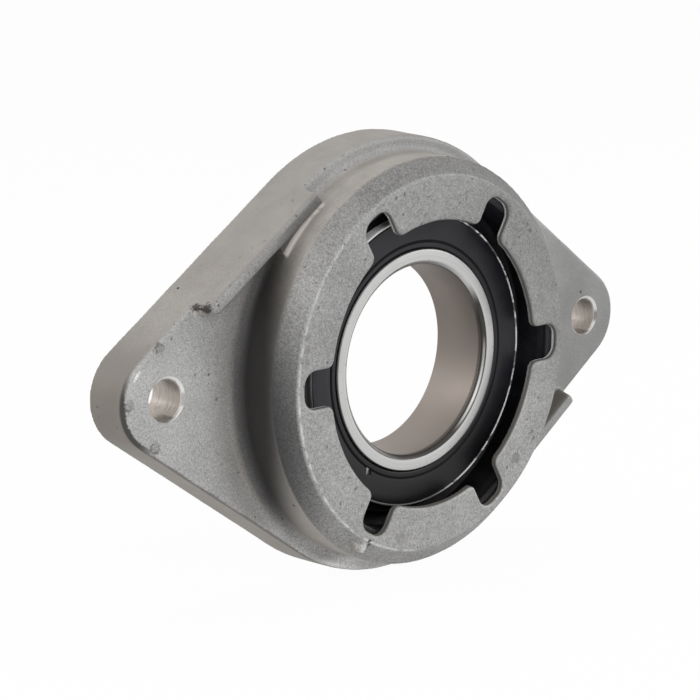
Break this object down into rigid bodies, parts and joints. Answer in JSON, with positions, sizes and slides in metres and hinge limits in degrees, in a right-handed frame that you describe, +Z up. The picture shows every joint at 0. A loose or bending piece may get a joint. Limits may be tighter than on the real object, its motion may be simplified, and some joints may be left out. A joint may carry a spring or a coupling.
{
  "type": "driveshaft centre bearing",
  "caption": "Sealed ball bearing held by a rubber damper in a cast two-ear bracket with a notched front lip, for the middle of a driveshaft.",
  "frame": {"origin": "middle of the bearing's bore, on the shaft axis", "axes": "+Y along the shaft, away from the lip side and towards the mounting face; +X along the two bolt ears; +Z up"},
  "size_m": [0.1698, 0.0264, 0.109],
  "materials": {
    "cast_aluminium": "sandblasted casting",
    "bearing_steel": "ground",
    "ball_steel": "polished",
    "cage_steel": "pressed sheet",
    "sleeve_steel": "pressed sheet",
    "spring_steel": "phosphated, oiled",
    "seal_rubber": "smooth moulded",
    "damper_rubber": "moulded"
  },
  "bodies": {
    "bracket": {"housing": "cast_aluminium", "outer_sleeve": "sleeve_steel", "damper": "damper_rubber", "seat_sleeve": "sleeve_steel", "retaining_ring": "spring_steel", "outer_ring": "bearing_steel", "front_seal": "seal_rubber", "front_seal_insert": "sleeve_steel", "rear_seal": "seal_rubber", "rear_seal_insert": "sleeve_steel"},
    "inner_ring": {"inner_ring": "bearing_steel"},
    "cage": {"cage_front": "cage_steel", "cage_rear": "cage_steel", "cage_rivets": "cage_steel"},
    "ball_01": {"ball_01": "ball_steel"},
    "ball_02": {"ball_02": "ball_steel"},
    "ball_03": {"ball_03": "ball_steel"},
    "ball_04": {"ball_04": "ball_steel"},
    "ball_05": {"ball_05": "ball_steel"},
    "ball_06": {"ball_06": "ball_steel"},
    "ball_07": {"ball_07": "ball_steel"},
    "ball_08": {"ball_08": "ball_steel"},
    "ball_09": {"ball_09": "ball_steel"},
    "ball_10": {"ball_10": "ball_steel"},
    "ball_11": {"ball_11": "ball_steel"},
    "ball_12": {"ball_12": "ball_steel"}
  },
  "joints": [
    {"name": "inner_ring_spin", "type": "hinge", "parent": "bracket", "child": "inner_ring", "pos_m": [0, 0, 0], "axis": [0, 1, 0], "continuous": true},
    {"name": "cage_spin", "type": "hinge", "parent": "bracket", "child": "cage", "pos_m": [0, 0, 0], "axis": [0, 1, 0], "continuous": true},
    {"name": "ball_01_roll", "type": "hinge", "parent": "cage", "child": "ball_01", "pos_m": [0.02975, 0, 0], "axis": [0, 1, 0], "continuous": true},
    {"name": "ball_02_roll", "type": "hinge", "parent": "cage", "child": "ball_02", "pos_m": [0.02576, 0, 0.01487], "axis": [0, 1, 0], "continuous": true},
    {"name": "ball_03_roll", "type": "hinge", "parent": "cage", "child": "ball_03", "pos_m": [0.01487, 0, 0.02576], "axis": [0, 1, 0], "continuous": true},
    {"name": "ball_04_roll", "type": "hinge", "parent": "cage", "child": "ball_04", "pos_m": [0, 0, 0.02975], "axis": [0, 1, 0], "continuous": true},
    {"name": "ball_05_roll", "type": "hinge", "parent": "cage", "child": "ball_05", "pos_m": [-0.01487, 0, 0.02576], "axis": [0, 1, 0], "continuous": true},
    {"name": "ball_06_roll", "type": "hinge", "parent": "cage", "child": "ball_06", "pos_m": [-0.02576, 0, 0.01487], "axis": [0, 1, 0], "continuous": true},
    {"name": "ball_07_roll", "type": "hinge", "parent": "cage", "child": "ball_07", "pos_m": [-0.02975, 0, 0], "axis": [0, 1, 0], "continuous": true},
    {"name": "ball_08_roll", "type": "hinge", "parent": "cage", "child": "ball_08", "pos_m": [-0.02576, 0, -0.01487], "axis": [0, 1, 0], "continuous": true},
    {"name": "ball_09_roll", "type": "hinge", "parent": "cage", "child": "ball_09", "pos_m": [-0.01487, 0, -0.02576], "axis": [0, 1, 0], "continuous": true},
    {"name": "ball_10_roll", "type": "hinge", "parent": "cage", "child": "ball_10", "pos_m": [0, 0, -0.02975], "axis": [0, 1, 0], "continuous": true},
    {"name": "ball_11_roll", "type": "hinge", "parent": "cage", "child": "ball_11", "pos_m": [0.01487, 0, -0.02576], "axis": [0, 1, 0], "continuous": true},
    {"name": "ball_12_roll", "type": "hinge", "parent": "cage", "child": "ball_12", "pos_m": [0.02576, 0, -0.01487], "axis": [0, 1, 0], "continuous": true}
  ],
  "couplings": [
    {"joint": "cage_spin", "follows": "inner_ring_spin", "ratio": 0.43328},
    {"joint": "ball_01_roll", "follows": "inner_ring_spin", "ratio": -3.6801},
    {"joint": "ball_02_roll", "follows": "inner_ring_spin", "ratio": -3.6801},
    {"joint": "ball_03_roll", "follows": "inner_ring_spin", "ratio": -3.6801},
    {"joint": "ball_04_roll", "follows": "inner_ring_spin", "ratio": -3.6801},
    {"joint": "ball_05_roll", "follows": "inner_ring_spin", "ratio": -3.6801},
    {"joint": "ball_06_roll", "follows": "inner_ring_spin", "ratio": -3.6801},
    {"joint": "ball_07_roll", "follows": "inner_ring_spin", "ratio": -3.6801},
    {"joint": "ball_08_roll", "follows": "inner_ring_spin", "ratio": -3.6801},
    {"joint": "ball_09_roll", "follows": "inner_ring_spin", "ratio": -3.6801},
    {"joint": "ball_10_roll", "follows": "inner_ring_spin", "ratio": -3.6801},
    {"joint": "ball_11_roll", "follows": "inner_ring_spin", "ratio": -3.6801},
    {"joint": "ball_12_roll", "follows": "inner_ring_spin", "ratio": -3.6801}
  ]
}
